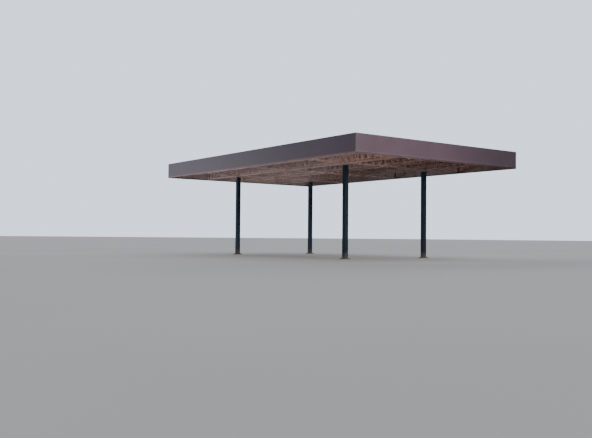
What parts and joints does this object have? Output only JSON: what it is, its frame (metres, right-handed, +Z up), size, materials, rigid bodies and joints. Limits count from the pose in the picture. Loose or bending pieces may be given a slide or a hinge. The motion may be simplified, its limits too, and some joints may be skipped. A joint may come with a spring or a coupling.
{
  "type": "filling station canopy",
  "caption": "Open steel canopy roof on slim box columns, with a smooth sheet edge band and bare lattice trusses under profiled roof sheets",
  "frame": {"origin": "middle of the roof's plan, at the level of the footings' undersides", "axes": "+X along the long side of the roof, +Y along the short side, +Z up; the front is the side at negative Y"},
  "size_m": [24, 14.8, 7.513],
  "materials": {
    "footing": "rough cast concrete, dusty",
    "column_paint": "semi-gloss dark blue-green enamel, mud-splashed near the ground",
    "primed_steel": "matt buff-pink primer, dusty and weathered, darker on the purlins",
    "bearing_primer": "matt brown primer, weathered",
    "fascia_paint": "semi-gloss mauve-grey coated sheet",
    "coping_paint": "semi-gloss mauve-grey coated sheet",
    "lip_paint": "matt pinkish grey coated sheet",
    "roof_sheet": "matt brown coated profiled sheet, darker on its underside",
    "gutter_zinc": "dull galvanised sheet"
  },
  "bodies": {
    "root": {"footing_front_left": "footing", "footing_front_right": "footing", "footing_rear_left": "footing", "footing_rear_right": "footing", "column_front_left": "column_paint", "column_front_right": "column_paint", "column_rear_left": "column_paint", "column_rear_right": "column_paint", "truss_bearings": "bearing_primer", "main_truss_front": "primed_steel", "main_truss_rear": "primed_steel", "ridge_truss": "primed_steel", "column_cross_truss_left": "primed_steel", "column_cross_truss_right": "primed_steel", "cross_trusses_left_end": "primed_steel", "cross_trusses_left_bay": "primed_steel", "cross_truss_middle": "primed_steel", "cross_trusses_right_bay": "primed_steel", "cross_trusses_right_end": "primed_steel", "fascia_frame_front": "primed_steel", "fascia_frame_rear": "primed_steel", "fascia_frame_left": "primed_steel", "fascia_frame_right": "primed_steel", "purlins_front": "primed_steel", "purlins_rear": "primed_steel", "fascia_front": "fascia_paint", "fascia_rear": "fascia_paint", "fascia_left": "fascia_paint", "fascia_right": "fascia_paint", "coping_front": "coping_paint", "coping_rear": "coping_paint", "coping_left": "coping_paint", "coping_right": "coping_paint", "bottom_lip_front": "lip_paint", "bottom_lip_rear": "lip_paint", "bottom_lip_left": "lip_paint", "bottom_lip_right": "lip_paint", "roof_sheet_front": "roof_sheet", "roof_sheet_rear": "roof_sheet", "ridge_cap": "roof_sheet", "gutter_front": "gutter_zinc", "gutter_rear": "gutter_zinc"}
  },
  "joints": []
}
